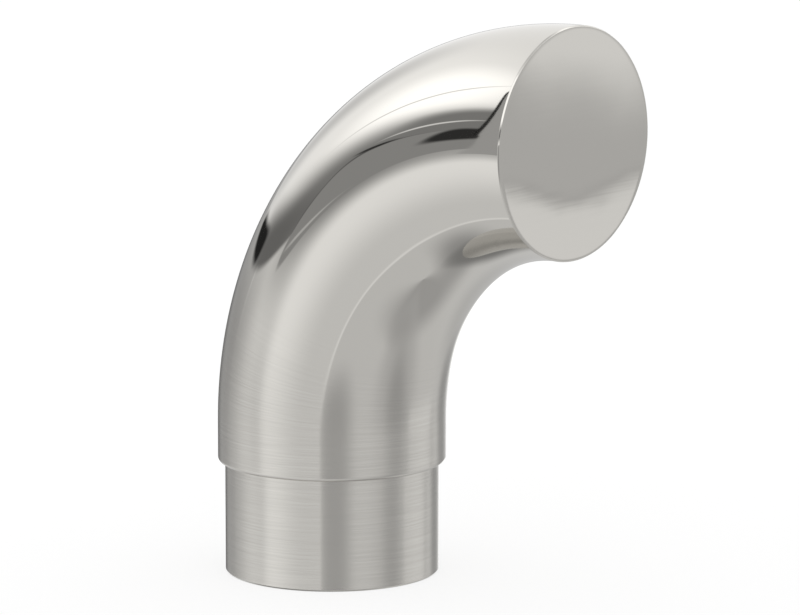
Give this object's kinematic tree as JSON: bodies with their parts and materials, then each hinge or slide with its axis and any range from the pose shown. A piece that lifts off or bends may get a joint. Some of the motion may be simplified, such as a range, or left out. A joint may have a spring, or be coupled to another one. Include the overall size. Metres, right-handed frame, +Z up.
{
  "type": "handrail wall return",
  "caption": "Hollow cast handrail end: a plain spigot slides into a round rail tube, and a smooth bend turns the rail to a flat closed face that meets the wall.",
  "frame": {"origin": "centre of the shoulder that the rail tube butts against, on the spigot's axis; the part stands on the spigot's open end, 25 mm below the origin", "axes": "+Z up the spigot's axis into the bend, +X out of the flat end face towards the wall, and the bend lies in the XZ plane, which is the part's mirror plane"},
  "size_m": [0.0944, 0.0508, 0.1284],
  "materials": {
    "stainless": "cast stainless steel, satin brushed at the spigot and lower body and blending into a bright mirror polish on the upper bend, with a satin end face"
  },
  "bodies": {
    "root": {"wall_return": "stainless"}
  },
  "joints": []
}
